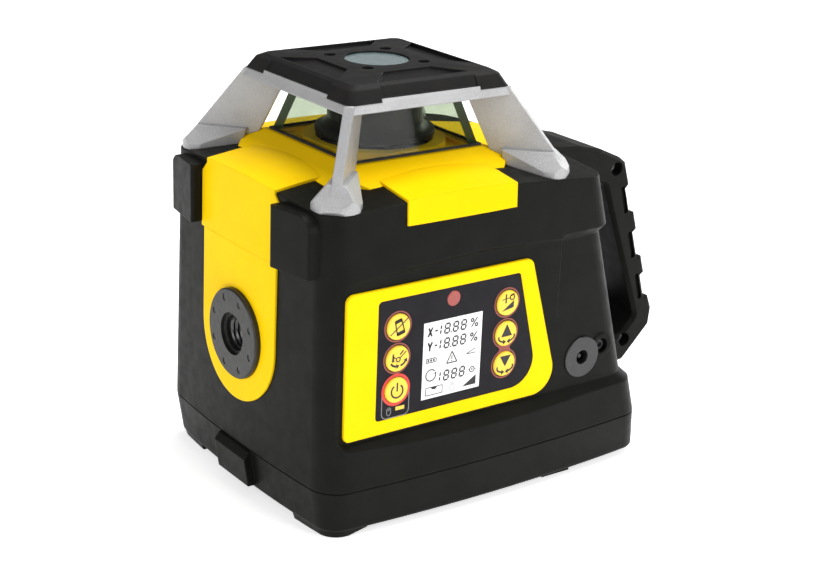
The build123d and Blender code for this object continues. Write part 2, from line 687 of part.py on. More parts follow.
# ---- inner frame ----
with BuildPart() as chassis:
    add(block(-56, 56, -56, 56, 134, 138))
    add(tube(36.5, 0, 130, 140), mode=Mode.SUBTRACT)
    add(block(-46, 64, -62, 46, 80, 83))
    for x in (-42, 42):
        for y in (-42, 42):
            add(block(x - 4, x + 4, y - 4, y + 4, 83, 134))
    for x in (-40, 36):
        for y in (-30, 30):
            add(tube(3, 0, 66, 80, x, y))
    # upright brackets of the outer gimbal axis
    for side in (-1, 1):
        add(block(*sorted((side * 37, side * 41)), -6, 6, 138, 155))
    add(rod_x(pivot_r + 0.05, -50, 50, 0, pivot_z), mode=Mode.SUBTRACT)
    # cradles of the levelling motors
    add(block(46, 60, -9.5, 9.5, 82.8, fork_x_z))
    add(rod_x(8, 40, 64, 0, fork_x_z), mode=Mode.SUBTRACT)
    add(block(-9.5, 9.5, -60, -46, 82.8, fork_y_z))
    add(rod_y(8, -64, -40, 0, fork_y_z), mode=Mode.SUBTRACT)
    for x in (-50, 50):
        for y in (-50, 50):
            add(tube(1.5, 0, 130, 140, x, y), mode=Mode.SUBTRACT)
save(chassis, "chassis")

with BuildPart() as chassis_screws:
    for x in (-50, 50):
        for y in (-50, 50):
            add(tube(3, 0, 131.8, 134, x, y))
            add(tube(1.5, 0, 134, 146, x, y))
save(chassis_screws, "chassis_screws")

with BuildPart() as main_board:
    add(block(-50, 46, -44, 44, 64.4, 66))
    add(block(-20, 0, -10, 10, 66, 68))
    add(block(16, 28, 8, 20, 66, 68.5))
    for x in (-34, -28, 6, 12):
        add(tube(2.4, 0, 66, 74, x, -36))
save(main_board, "main_board")

with BuildPart() as level_motors:
    add(rod_x(8, 44, 62, 0, fork_x_z))
    add(rod_x(3, 62, 63.4, 0, fork_x_z))
    add(rod_y(8, -62, -44, 0, fork_y_z))
    add(rod_y(3, -63.4, -62, 0, fork_y_z))
    for side in (-5.5, 4.3):
        add(block(62, 64.2, side, side + 1.2, fork_x_z - 0.3, fork_x_z + 0.3))
        add(block(side, side + 1.2, -64.2, -62, fork_y_z - 0.3, fork_y_z + 0.3))
save(level_motors, "levelling_motors")

# ---- levelling screws and the forks they drive ----
with BuildPart() as level_screw_x:
    add(rod_x(1.9, 18, 43.9, 0, fork_x_z))
    add(rod_x(3.4, 38.5, 43.6, 0, fork_x_z))
save(level_screw_x, "levelling_screw_x")
with BuildPart() as level_screw_y:
    add(rod_y(1.9, -43.9, -18, 0, fork_y_z))
    add(rod_y(3.4, -43.6, -38.5, 0, fork_y_z))
save(level_screw_y, "levelling_screw_y")

fork_gap = stud_r + 0.35
with BuildPart() as level_fork_x:
    add(block(26, 34, -4, 4, fork_x_z - 2.9, fork_x_z + 2.9))
    add(block(-7, 26, -8, 8, fork_x_z - 1.4, fork_x_z + 1.4))
    add(block(-fork_gap, fork_gap, -6, 6, 80, 100), mode=Mode.SUBTRACT)
    add(block(13.5, 26.5, -2.6, 2.6, 80, 100), mode=Mode.SUBTRACT)
    add(rod_x(1.95, 10, 40, 0, fork_x_z), mode=Mode.SUBTRACT)
save(level_fork_x, "levelling_fork_x")
with BuildPart() as level_fork_y:
    add(block(-4, 4, -34, -26, fork_y_z - 2.9, fork_y_z + 2.9))
    add(block(-8, 8, -26, 7, fork_y_z - 1.4, fork_y_z + 1.4))
    add(block(-6, 6, -fork_gap, fork_gap, 80, 100), mode=Mode.SUBTRACT)
    add(block(-2.6, 2.6, -26.5, -13.5, 80, 100), mode=Mode.SUBTRACT)
    add(rod_y(1.95, -40, -10, 0, fork_y_z), mode=Mode.SUBTRACT)
save(level_fork_y, "levelling_fork_y")

# ---- gimbal: ring on the X axis, carrier on the Y axis ----
with BuildPart() as gimbal_ring:
    add(tube(ring_out, ring_in, pivot_z - 4, pivot_z + 4))
    for side in (-1, 1):
        add(rod_x(pivot_r, *sorted((side * 32.5, side * 40.8)), 0, pivot_z))
        add(rod_y(pivot_r + 0.05, *sorted((side * 20, side * 40)), 0, pivot_z), mode=Mode.SUBTRACT)
save(gimbal_ring, "gimbal_ring")

with BuildPart() as carrier:
    add(tube(14, 0, 140, 157))
    add(tube(11, 0, 104, 140))
    add(tube(stud_r, 0, 84.4, 104))
    add(tube(26.5, 0, 154.2, 157))
    for side in (-1, 1):
        add(block(-3.5, 3.5, *sorted((side * 10, side * 28)), pivot_z - 3.5, 155))
        add(rod_y(pivot_r, *sorted((side * 27, side * 34.5)), 0, pivot_z))
    # ledges that hold the two vials
    add(block(0, 17, -9, 9, 118, 121))
    add(block(-9, 9, 0, 17, 118, 121))
    add(tube(8, 0, 106, 170), mode=Mode.SUBTRACT)
    add(tube(12, 0, pivot_z, 170), mode=Mode.SUBTRACT)
    add(tube(2.2, 0, 150, 160, motor_x), mode=Mode.SUBTRACT)
save(carrier, "laser_carrier")

with BuildPart() as laser_module:
    add(tube(8, 0, 108, 134))
    add(tube(5.5, 0, 134, 142))
    add(tube(4.5, 0, 139, 145), mode=Mode.SUBTRACT)
save(laser_module, "laser_module")
with BuildPart() as laser_lens:
    add(tube(4.5, 0, 139.5, 141.5))
    fillet(laser_lens.edges().filter_by(GeomType.CIRCLE).sort_by(Axis.Z)[-1], 0.8)
save(laser_lens, "laser_lens")

with BuildPart() as level_vials:
    add(rod_y(2.2, -8.5, 8.5, 14.2, 123.5))
    add(rod_x(2.2, -8.5, 8.5, 14.2, 123.5))
    for near, far in ((-8.5, -6.8), (6.8, 8.5)):
        add(rod_y(2.5, near, far, 14.2, 123.5))
        add(rod_x(2.5, near, far, 14.2, 123.5))
save(level_vials, "level_vials")

with BuildPart() as drive_motor:
    add(tube(5.4, 0, 133, 154.2, motor_x))
    add(tube(2.0, 0, 131.6, 133, motor_x))
    for y in (-3.6, 2.6):
        add(block(motor_x - 0.3, motor_x + 0.3, y, y + 1.0, 130.2, 133))
save(drive_motor, "drive_motor")
with BuildPart() as motor_pulley:
    add(tube(1.0, 0, 154.3, 162, motor_x))
    add(tube(motor_pulley_r, 0, pulley_z, 162, motor_x))
save(motor_pulley, "motor_pulley")

# ---- bearing and rotor ----
race_r = 10.0               # pitch radius of the balls
ball_r = 1.4
race_z = 153.4
with BuildPart() as bearing_outer:
    add(tube(12, 10.9, pivot_z, 156.8))
    with BuildSketch(Plane.XZ):
        with Locations((race_r, race_z)):
            Circle(ball_r + 0.05)
    revolve(axis=Axis.Z, mode=Mode.SUBTRACT)
save(bearing_outer, "bearing_outer_ring")
with BuildPart() as bearing_inner:
    add(tube(9.1, spindle_r, pivot_z + 0.2, 156.8))
    with BuildSketch(Plane.XZ):
        with Locations((race_r, race_z)):
            Circle(ball_r + 0.05)
    revolve(axis=Axis.Z, mode=Mode.SUBTRACT)
save(bearing_inner, "bearing_inner_ring")
with BuildPart() as bearing_balls:
    with Locations((0, 0, race_z)):
        with PolarLocations(race_r, 12):
            Sphere(ball_r)
save(bearing_balls, "bearing_balls")

with BuildPart() as rotor_spindle:
    add(tube(spindle_r, 6.0, pivot_z + 0.4, 168.5))
    add(tube(rotor_pulley_r, 6.0, pulley_z, 162))
    add(tube(rotor_pulley_r + 1.2, 6.0, 162, 163))
save(rotor_spindle, "rotor_spindle")

belt_thick = 0.9
belt_gap = 0.06


def belt_outline(grow):
    """Loop round both pulleys, grown outwards from their rims."""
    with BuildSketch(Plane.XY.offset(158.0)) as outline:
        Circle(rotor_pulley_r + grow)
        with Locations((motor_x, 0)):
            Circle(motor_pulley_r + grow)
        make_hull()
    return outline.sketch


with BuildPart() as drive_belt:
    add(belt_outline(belt_gap + belt_thick))
    extrude(amount=3.5)
    add(extrude(belt_outline(belt_gap), amount=3.5, mode=Mode.PRIVATE), mode=Mode.SUBTRACT)
save(drive_belt, "drive_belt")

with BuildPart() as rotor_drum:
    with BuildSketch(Plane.XZ):
        with BuildLine():
            Polyline(
                (rotor_ring_r, rotor_z + 2.2),
                (rotor_ring_r, rotor_z),
                (21, rotor_z),
                (21, 168.5),
                (6.2, 168.5),
                (6.2, 170.5),
                (rotor_r - 2, 170.5),
                (rotor_r - 2, rotor_top_z - 2),
                (6.5, rotor_top_z - 2),
                (6.5, rotor_top_z),
                (rotor_r - 1, rotor_top_z),
                (rotor_r, rotor_top_z - 1),
                (rotor_r, rotor_z + 7),
            )
            RadiusArc((rotor_r, rotor_z + 7), (rotor_ring_r, rotor_z + 2.2), -6.5)
        make_face()
    revolve(axis=Axis.Z)
    aperture = block(10, 30, -5, 5, 172, 181)
    add(aperture.rotate(Axis.Z, 45), mode=Mode.SUBTRACT)
save(rotor_drum, "rotor_drum")

with BuildPart() as prism:
    with BuildSketch(Plane.XZ.offset(-6)):
        Polygon((-7, 170.5), (7, 170.5), (7, 180.5), (-2, 181.5), (-8.5, 176), align=None)
    extrude(amount=12)
with BuildPart() as prism_turned:
    add(prism.part.rotate(Axis.Z, 45))
save(prism_turned, "pentaprism")
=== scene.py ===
import json
from math import atan2, cos, pi, radians, sin

import bmesh
import bpy
from mathutils import Matrix, Vector


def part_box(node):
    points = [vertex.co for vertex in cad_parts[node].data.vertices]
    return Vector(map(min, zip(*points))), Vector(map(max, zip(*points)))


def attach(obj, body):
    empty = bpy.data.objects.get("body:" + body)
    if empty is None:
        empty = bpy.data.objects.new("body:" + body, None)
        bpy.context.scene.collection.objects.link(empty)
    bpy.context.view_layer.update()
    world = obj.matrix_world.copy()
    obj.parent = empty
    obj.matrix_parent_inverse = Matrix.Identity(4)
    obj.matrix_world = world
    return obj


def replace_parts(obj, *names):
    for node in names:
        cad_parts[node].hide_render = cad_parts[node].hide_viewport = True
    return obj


# Looks for the rotary laser level. Metres, in the CAD frame: +Z up, the panel faces -Y, the handle +X.
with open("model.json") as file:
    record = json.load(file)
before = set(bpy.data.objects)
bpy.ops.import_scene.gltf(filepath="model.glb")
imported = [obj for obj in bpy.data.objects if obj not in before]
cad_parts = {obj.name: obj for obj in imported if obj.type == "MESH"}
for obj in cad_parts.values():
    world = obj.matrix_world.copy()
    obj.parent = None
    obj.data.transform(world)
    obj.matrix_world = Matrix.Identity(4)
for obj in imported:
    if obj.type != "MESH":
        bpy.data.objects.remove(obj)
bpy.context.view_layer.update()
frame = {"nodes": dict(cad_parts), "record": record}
scene = bpy.context.scene
MM = 0.001


# ---- materials ----
def link(tree, source, target):
    tree.links.new(source, target)


def node(tree, kind, **values):
    made = tree.nodes.new(kind)
    for key, value in values.items():
        if hasattr(made, key):
            setattr(made, key, value)
        else:
            made.inputs[key.replace("_", " ")].default_value = value
    return made


def noise(tree, scale, detail=2.0, coordinates="Object"):
    """Noise in the object's own coordinates; scale is the size of a feature in mm."""
    place = node(tree, "ShaderNodeTexCoord")
    texture = node(tree, "ShaderNodeTexNoise", Scale=1.0 / (scale * MM), Detail=detail)
    link(tree, place.outputs[coordinates], texture.inputs["Vector"])
    return texture.outputs["Fac"]


def spread(tree, value, low, high, from_low=0.3, from_high=0.7):
    """Maps a noise value onto a range."""
    ramp = node(tree, "ShaderNodeMapRange")
    ramp.inputs["From Min"].default_value = from_low
    ramp.inputs["From Max"].default_value = from_high
    ramp.inputs["To Min"].default_value = low
    ramp.inputs["To Max"].default_value = high
    link(tree, value, ramp.inputs["Value"])
    return ramp.outputs["Result"]


def mix_colours(tree, amount, low, high):
    mix = node(tree, "ShaderNodeMix", data_type="RGBA")
    link(tree, amount, mix.inputs["Factor"])
    for socket, colour in ((6, low), (7, high)):
        if isinstance(colour, tuple):
            mix.inputs[socket].default_value = (*colour, 1.0)
        else:
            link(tree, colour, mix.inputs[socket])
    return mix.outputs[2]


def edge_mask(tree, radius):
    """1 on the object's sharp edges and 0 on its faces."""
    rounded = node(tree, "ShaderNodeBevel", samples=4, Radius=radius * MM)
    geometry = node(tree, "ShaderNodeNewGeometry")
    dot = node(tree, "ShaderNodeVectorMath", operation="DOT_PRODUCT")
    link(tree, rounded.outputs["Normal"], dot.inputs[0])
    link(tree, geometry.outputs["Normal"], dot.inputs[1])
    return spread(tree, dot.outputs["Value"], 1.0, 0.0, 0.80, 0.99)


def finish(name, low, high, rough, metallic=0.0, coat=0.0, patch=14.0, grain=0.5, depth=0.03, soft=0.5,
           wear=None, specular=0.5, speckle=None, brushed=False):
    """A surface with patchy colour, a grain bump, softened edges and, where asked, wear or speckles.

    low and high are the two colours it drifts between, patch and grain are sizes in mm, depth is the
    bump's height in mm, soft the radius that sharp edges are rounded to, wear the colour of rubbed edges.
    """
    material = bpy.data.materials.new(name)
    material.use_nodes = True
    tree = material.node_tree
    surface = tree.nodes["Principled BSDF"]
    colour = mix_colours(tree, spread(tree, noise(tree, patch, 4.0), 0.0, 1.0), low, high)
    if speckle:
        spots = spread(tree, noise(tree, 0.55, 1.0), 0.0, 1.0, 0.55, 0.68)
        colour = mix_colours(tree, spots, colour, speckle)
    if wear:
        edges = edge_mask(tree, soft * 1.3)
        worn = node(tree, "ShaderNodeMath", operation="MULTIPLY")
        link(tree, edges, worn.inputs[0])
        link(tree, spread(tree, noise(tree, 3.0, 3.0), 0.15, 0.6), worn.inputs[1])
        colour = mix_colours(tree, worn.outputs[0], colour, wear)
    link(tree, colour, surface.inputs["Base Color"])
    roughness = spread(tree, noise(tree, patch * 0.4, 5.0), rough * 0.85, min(1.0, rough * 1.18))
    link(tree, roughness, surface.inputs["Roughness"])
    surface.inputs["Metallic"].default_value = metallic
    surface.inputs["Specular IOR Level"].default_value = specular
    surface.inputs["Coat Weight"].default_value = coat
    surface.inputs["Coat Roughness"].default_value = 0.15
    bump = node(tree, "ShaderNodeBump", Distance=depth * MM, Strength=0.8)
    if brushed:
        rings = node(tree, "ShaderNodeTexWave", wave_type="RINGS", rings_direction="SPHERICAL")
        rings.inputs["Scale"].default_value = 0.25 / (grain * MM)
        rings.inputs["Distortion"].default_value = 1.5
        place = node(tree, "ShaderNodeTexCoord")
        link(tree, place.outputs["Object"], rings.inputs["Vector"])
        link(tree, rings.outputs["Fac"], bump.inputs["Height"])
    else:
        link(tree, noise(tree, grain, 3.0), bump.inputs["Height"])
    rounded = node(tree, "ShaderNodeBevel", samples=4, Radius=soft * MM)
    link(tree, rounded.outputs["Normal"], bump.inputs["Normal"])
    link(tree, bump.outputs["Normal"], surface.inputs["Normal"])
    return material


def clear_glass(name, tint, edge):
    """Thin clear glass: mirror-like at a glance, with coloured mitred edges; the colour seen through it is
    partly the glass's own green tint and partly painted reflection that darkens it.
    """
    material = bpy.data.materials.new(name)
    material.use_nodes = True
    tree = material.node_tree
    output = tree.nodes["Material Output"]
    body = tree.nodes["Principled BSDF"]
    body.inputs["Base Color"].default_value = (*edge, 1.0)
    body.inputs["Roughness"].default_value = 0.2
    through = node(tree, "ShaderNodeBsdfTransparent")
    streaks = spread(tree, noise(tree, 9.0, 3.0), 0.0, 1.0)
    lighter = tuple(min(1.0, c * 1.05) for c in tint)
    link(tree, mix_colours(tree, streaks, tint, lighter), through.inputs["Color"])
    mirror = node(tree, "ShaderNodeBsdfGlossy", Roughness=0.03)
    fresnel = node(tree, "ShaderNodeFresnel", IOR=1.5)
    geometry = node(tree, "ShaderNodeNewGeometry")
    outward = spread(tree, geometry.outputs["Backfacing"], 0.3, 0.0, 0.0, 1.0)
    sheen = node(tree, "ShaderNodeMath", operation="MULTIPLY")
    link(tree, fresnel.outputs[0], sheen.inputs[0])
    link(tree, outward, sheen.inputs[1])
    clear = node(tree, "ShaderNodeMixShader")
    link(tree, sheen.outputs[0], clear.inputs[0])
    link(tree, through.outputs[0], clear.inputs[1])
    link(tree, mirror.outputs[0], clear.inputs[2])
    # the mitred ends face along the diagonals, the panes along X or Y
    split = node(tree, "ShaderNodeSeparateXYZ")
    link(tree, geometry.outputs["Normal"], split.inputs[0])
    sizes = []
    for axis in (0, 1):
        size = node(tree, "ShaderNodeMath", operation="ABSOLUTE")
        link(tree, split.outputs[axis], size.inputs[0])
        sizes.append(size.outputs[0])
    least = node(tree, "ShaderNodeMath", operation="MINIMUM")
    link(tree, sizes[0], least.inputs[0])
    link(tree, sizes[1], least.inputs[1])
    mitre = node(tree, "ShaderNodeMath", operation="GREATER_THAN")
    mitre.inputs[1].default_value = 0.4
    link(tree, least.outputs[0], mitre.inputs[0])
    both = node(tree, "ShaderNodeMixShader")
    link(tree, mitre.outputs[0], both.inputs[0])
    link(tree, clear.outputs[0], both.inputs[1])
    link(tree, body.outputs[0], both.inputs[2])
    link(tree, both.outputs[0], output.inputs["Surface"])
    return material


def solid_glass(name, tint, rough=0.05):
    """Real refracting glass, for the optics and the vials."""
    material = finish(name, tint, tint, rough, grain=4.0, depth=0.002, soft=0.2)
    surface = material.node_tree.nodes["Principled BSDF"]
    surface.inputs["Transmission Weight"].default_value = 0.9
    surface.inputs["IOR"].default_value = 1.5
    return material


slots = {
    "housing_black": finish("housing_black", (0.0058, 0.0060, 0.0048), (0.0080, 0.0082, 0.0066), 0.42,
                            grain=0.35, depth=0.018, soft=0.9, wear=(0.022, 0.022, 0.019), specular=0.07),
    "handle_black": finish("handle_black", (0.0065, 0.0065, 0.0057), (0.0090, 0.0090, 0.0078), 0.45,
                           grain=0.45, depth=0.03, soft=0.8, wear=(0.022, 0.022, 0.019), specular=0.08),
    "cover_yellow": finish("cover_yellow", (0.96, 0.60, 0.002), (1.0, 0.65, 0.004), 0.34, patch=30,
                           grain=0.7, depth=0.008, soft=0.6, wear=(1.0, 0.68, 0.015), specular=0.025),
    "panel_yellow": finish("panel_yellow", (0.97, 0.64, 0.002), (1.0, 0.68, 0.004), 0.32, patch=25,
                           grain=0.7, depth=0.006, soft=0.5, wear=(1.0, 0.72, 0.03), specular=0.035),
    "cage_silver": finish("cage_silver", (0.33, 0.33, 0.335), (0.39, 0.39, 0.395), 0.42, metallic=0.25,
                          coat=0.12, grain=0.3, depth=0.02, soft=0.9, wear=(0.50, 0.50, 0.50),
                          speckle=(0.44, 0.44, 0.45)),
    "cap_black": finish("cap_black", (0.012, 0.012, 0.012), (0.017, 0.016, 0.015), 0.4, grain=0.4,
                        depth=0.01, soft=0.7, wear=(0.03, 0.03, 0.03), specular=0.07),
    "cap_glass": finish("cap_glass", (0.10, 0.15, 0.16), (0.18, 0.25, 0.26), 0.2, coat=0.9, patch=2.5,
                        grain=0.35, depth=0.03, soft=0.3, speckle=(0.34, 0.43, 0.43)),
    # the sight glass's through colour is partly its real green tint and partly painted reflection, set darker
    # than clear glass passes
    "sight_glass": clear_glass("sight_glass", (0.76, 0.79, 0.73), (0.045, 0.075, 0.035)),
    "optic_glass": solid_glass("optic_glass", (0.75, 0.88, 0.92)),
    "vial_glass": solid_glass("vial_glass", (0.55, 0.85, 0.2)),
    "drum_black": finish("drum_black", (0.006, 0.006, 0.006), (0.009, 0.009, 0.009), 0.34, grain=0.5,
                         depth=0.006, soft=0.5, specular=0.2),
    "membrane_black": finish("membrane_black", (0.008, 0.007, 0.010), (0.011, 0.010, 0.013), 0.5,
                             grain=0.25, depth=0.008, soft=0.2, specular=0.13),
    "lcd_clear": finish("lcd_clear", (0.88, 0.88, 0.88), (0.93, 0.93, 0.93), 0.25, patch=18, grain=1.5,
                        depth=0.002, soft=0.15, coat=0.3),
    "lcd_cell": finish("lcd_cell", (0.42, 0.46, 0.40), (0.5, 0.54, 0.47), 0.3, patch=8, grain=0.4,
                       depth=0.01),
    "key_yellow": finish("key_yellow", (0.93, 0.60, 0.03), (1.0, 0.66, 0.06), 0.38, patch=4, grain=0.3,
                         depth=0.006, soft=0.4),
    "indicator_red": finish("indicator_red", (0.28, 0.035, 0.025), (0.36, 0.05, 0.035), 0.3, patch=2,
                            grain=0.5, depth=0.02, soft=0.4, coat=0.4),
    "board_green": finish("board_green", (0.01, 0.10, 0.035), (0.02, 0.16, 0.06), 0.35, patch=5, grain=0.6,
                          depth=0.03, coat=0.3),
    "screw_steel": finish("screw_steel", (0.42, 0.42, 0.42), (0.55, 0.55, 0.54), 0.32, metallic=1.0,
                          patch=2, grain=0.3, depth=0.01, soft=0.25),
    "screw_black": finish("screw_black", (0.02, 0.02, 0.02), (0.04, 0.04, 0.04), 0.34, metallic=0.6,
                          patch=2, grain=0.3, depth=0.01, soft=0.25, wear=(0.2, 0.2, 0.2)),
    "flange_alu": finish("flange_alu", (0.022, 0.022, 0.021), (0.032, 0.031, 0.029), 0.4, metallic=0.5,
                         patch=6, grain=0.35, depth=0.015, soft=0.4, wear=(0.12, 0.12, 0.12)),
    "insert_steel": finish("insert_steel", (0.05, 0.05, 0.05), (0.09, 0.09, 0.09), 0.28, metallic=0.9,
                           patch=3, grain=0.3, depth=0.01, soft=0.2),
    "brass_part": finish("brass_part", (0.55, 0.36, 0.12), (0.68, 0.47, 0.18), 0.28, metallic=1.0, patch=4,
                         grain=0.25, depth=0.01, soft=0.2),
    "frame_alu": finish("frame_alu", (0.42, 0.42, 0.43), (0.52, 0.52, 0.53), 0.5, metallic=0.9, patch=10,
                        grain=0.8, depth=0.06, soft=0.5),
    "module_alu": finish("module_alu", (0.2, 0.2, 0.21), (0.3, 0.3, 0.31), 0.35, metallic=0.9, patch=6,
                         grain=0.4, depth=0.02, soft=0.4, brushed=True),
    "motor_steel": finish("motor_steel", (0.5, 0.5, 0.5), (0.6, 0.6, 0.6), 0.3, metallic=1.0, patch=6,
                          grain=0.4, depth=0.01, soft=0.4, brushed=True),
    "contact_steel": finish("contact_steel", (0.6, 0.6, 0.58), (0.7, 0.69, 0.66), 0.25, metallic=1.0,
                            patch=5, grain=0.5, depth=0.01),
    "cell_wrap": finish("cell_wrap", (0.03, 0.10, 0.22), (0.05, 0.14, 0.28), 0.25, patch=12, grain=1.2,
                        depth=0.02, coat=0.5),
    "seal_rubber": finish("seal_rubber", (0.01, 0.01, 0.01), (0.018, 0.018, 0.018), 0.75, grain=0.5,
                          depth=0.03),
    "belt_rubber": finish("belt_rubber", (0.012, 0.012, 0.012), (0.02, 0.02, 0.02), 0.7, grain=0.7,
                          depth=0.05),
    "bearing_steel": finish("bearing_steel", (0.55, 0.55, 0.56), (0.65, 0.65, 0.66), 0.15, metallic=1.0,
                            patch=5, grain=0.3, depth=0.004, soft=0.2),
    "fork_plastic": finish("fork_plastic", (0.62, 0.6, 0.54), (0.7, 0.68, 0.62), 0.45, patch=6, grain=0.6,
                           depth=0.03),
    "socket_black": finish("socket_black", (0.013, 0.013, 0.013), (0.02, 0.02, 0.02), 0.3, patch=4,
                           grain=0.4, depth=0.008, soft=0.4, wear=(0.06, 0.06, 0.06)),
}
for entry in frame["record"]["subparts"]:
    mesh = frame["nodes"][entry["node"]].data
    mesh.materials.clear()
    mesh.materials.append(slots[entry["material_slot"]])

print_black = finish("print_black", (0.008, 0.008, 0.009), (0.012, 0.012, 0.013), 0.5, patch=2, grain=0.3,
                     depth=0.004, soft=0.02)
print_red = finish("print_red", (0.24, 0.05, 0.035), (0.30, 0.065, 0.045), 0.45, patch=2, grain=0.3,
                   depth=0.004, soft=0.02)
print_bright_red = finish("print_bright_red", (0.62, 0.03, 0.02), (0.70, 0.045, 0.03), 0.45, patch=2,
                          grain=0.3, depth=0.004, soft=0.02)
print_grey = finish("print_grey", (0.16, 0.16, 0.16), (0.22, 0.22, 0.22), 0.5, patch=2, grain=0.3,
                    depth=0.004, soft=0.02)
print_yellow = finish("print_yellow", (0.80, 0.55, 0.05), (0.9, 0.62, 0.08), 0.45, patch=2, grain=0.3,
                      depth=0.004, soft=0.02)


# ---- flat prints on the panel: thin solids, drawn in mm with x across and z up ----
def prism(mesh, points, front, back):
    """Closed prism between two values of y, from an outline of (x, z) points in mm."""
    near = [mesh.verts.new((x * MM, front * MM, z * MM)) for x, z in points]
    far = [mesh.verts.new((x * MM, back * MM, z * MM)) for x, z in points]
    mesh.faces.new(near)
    mesh.faces.new(list(reversed(far)))
    count = len(points)
    for i in range(count):
        j = (i + 1) % count
        mesh.faces.new((near[i], far[i], far[j], near[j]))


def arc(x, z, radius, start, end, steps=24, flat=1.0):
    """Points round an arc, in degrees from +x towards +z; flat squeezes it upright."""
    angles = [radians(start + (end - start) * i / steps) for i in range(steps + 1)]
    return [(x + radius * cos(a), z + radius * flat * sin(a)) for a in angles]


def ring(mesh, x, z, inner, outer, front, back, steps=48):
    """Closed ring with the prints' thickness."""
    rows = []
    for radius, y in ((outer, front), (outer, back), (inner, back), (inner, front)):
        circle = arc(x, z, radius, 0, 360, steps)[:-1]
        rows.append([mesh.verts.new((px * MM, y * MM, pz * MM)) for px, pz in circle])
    for a in range(4):
        for i in range(steps):
            j = (i + 1) % steps
            upper, lower = rows[a], rows[(a + 1) % 4]
            mesh.faces.new((upper[i], upper[j], lower[j], lower[i]))


def stroke(mesh, points, width, front, back):
    """Line of even width along the points, mitred at its corners."""
    left, right = [], []
    for i, (x, z) in enumerate(points):
        before = points[max(i - 1, 0)]
        after = points[min(i + 1, len(points) - 1)]
        angle = atan2(after[1] - before[1], after[0] - before[0]) + pi / 2
        left.append((x + cos(angle) * width / 2, z + sin(angle) * width / 2))
        right.append((x - cos(angle) * width / 2, z - sin(angle) * width / 2))
    prism(mesh, left + list(reversed(right)), front, back)


def closed_strokes(mesh, points, width, front, back):
    """A stroke along every side of a closed outline."""
    for i, point in enumerate(points):
        stroke(mesh, [point, points[(i + 1) % len(points)]], width, front, back)


def rectangle(x, z, half_width, half_height):
    """Corners of a rectangle round x, z."""
    left, right, low, high = x - half_width, x + half_width, z - half_height, z + half_height
    return [(left, low), (right, low), (right, high), (left, high)]


def piece_from(mesh, name, material, body, smooth=False):
    """Turns a bmesh into a named piece that rides on a body."""
    bmesh.ops.recalc_face_normals(mesh, faces=mesh.faces)
    data = bpy.data.meshes.new(name)
    mesh.to_mesh(data)
    mesh.free()
    for polygon in data.polygons:
        polygon.use_smooth = smooth
    data.materials.append(material)
    made = bpy.data.objects.new(name, data)
    scene.collection.objects.link(made)
    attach(made, body)
    return made


def centre_of(name):
    low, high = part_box(name)
    return (low.x + high.x) / 2 / MM, (low.z + high.z) / 2 / MM


print_thick = 0.07          # how far a print stands out of the surface it lies on
print_root = 0.1            # how far it reaches into that surface
key_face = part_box("key_power")[0].y / MM
membrane_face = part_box("panel_membrane")[0].y / MM
lcd_low, lcd_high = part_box("lcd_window")
lcd_face = lcd_low.y / MM
key_names = ("key_shock", "key_scan", "key_power", "key_slope", "key_up", "key_down")


def arrow_head(mesh, x, z, angle, size, front, back):
    """Filled triangle whose tip points along angle."""
    a = radians(angle)
    tip = (x + size * cos(a), z + size * sin(a))
    side = (size * 0.75 * cos(a + pi / 2), size * 0.75 * sin(a + pi / 2))
    prism(mesh, [tip, (x + side[0], z + side[1]), (x - side[0], z - side[1])], front, back)


def draw_shock(mesh, x, z, front, back):
    """Tilted instrument with a line struck through it."""
    corners = [(-2.3, 3.0), (1.0, 3.9), (3.0, -2.8), (-0.9, -3.8)]
    outline = [(x + px, z + pz) for px, pz in corners]
    closed_strokes(mesh, outline, 0.6, front, back)
    cap = [(-2.4, 3.1), (1.0, 4.0), (1.5, 2.6), (-2.0, 1.7)]
    foot = [(-1.2, -2.4), (2.7, -1.4), (3.1, -2.9), (-0.9, -3.9)]
    for shape in (cap, foot):
        prism(mesh, [(x + px, z + pz) for px, pz in shape], front, back)
    stroke(mesh, [(x - 4.6, z - 3.2), (x + 4.6, z + 3.6)], 0.5, front, back)


def draw_scan(mesh, x, z, front, back):
    """Sweeping beam head between two curved arrows."""
    ring(mesh, x, z - 0.2, 0.75, 1.3, front, back, 24)
    stroke(mesh, [(x + 1.0, z + 0.5), (x + 4.3, z + 3.1)], 0.5, front, back)
    stroke(mesh, [(x - 1.1, z + 0.4), (x - 2.9, z + 1.6)], 0.5, front, back)
    prism(mesh, [(x - 3.5, z - 1.0), (x - 3.1, z + 2.8), (x - 2.4, z + 2.9), (x - 2.1, z - 1.0)], front, back)
    stroke(mesh, [(x + 0.9, z + 2.0), (x + 2.7, z + 3.8)], 0.7, front, back)
    for start, end, turn in ((205, 258, 0), (335, 288, 180)):
        sweep = arc(x, z - 0.2, 4.3, start, end, 12, 0.76)
        stroke(mesh, sweep, 0.95, front, back)
        tip = sweep[-1 if turn == 0 else 0]
        arrow_head(mesh, tip[0], tip[1], 10 if turn == 0 else 60, 1.6, front, back)


def draw_power(mesh, x, z, front, back):
    """Broken ring with a bar in its gap."""
    stroke(mesh, arc(x, z - 0.35, 3.1, 125, 415, 40), 0.8, front, back)
    stroke(mesh, [(x, z + 3.7), (x, z - 0.5)], 0.8, front, back)


def draw_slope(mesh, x, z, front, back):
    """Plumb bar, dial and wedge."""
    stroke(mesh, [(x - 1.5, z + 4.6), (x - 1.5, z + 0.2)], 0.8, front, back)
    stroke(mesh, [(x - 3.9, z + 2.1), (x + 1.2, z + 2.6)], 0.4, front, back)
    ring(mesh, x + 2.1, z + 2.7, 1.0, 1.55, front, back, 24)
    prism(mesh, [(x + 0.8, z + 3.8), (x + 3.3, z + 4.6), (x + 3.1, z + 3.7), (x + 1.3, z + 3.2)], front, back)
    prism(mesh, [(x - 3.6, z - 3.6), (x + 3.2, z - 2.4), (x + 3.2, z + 1.0)], front, back)


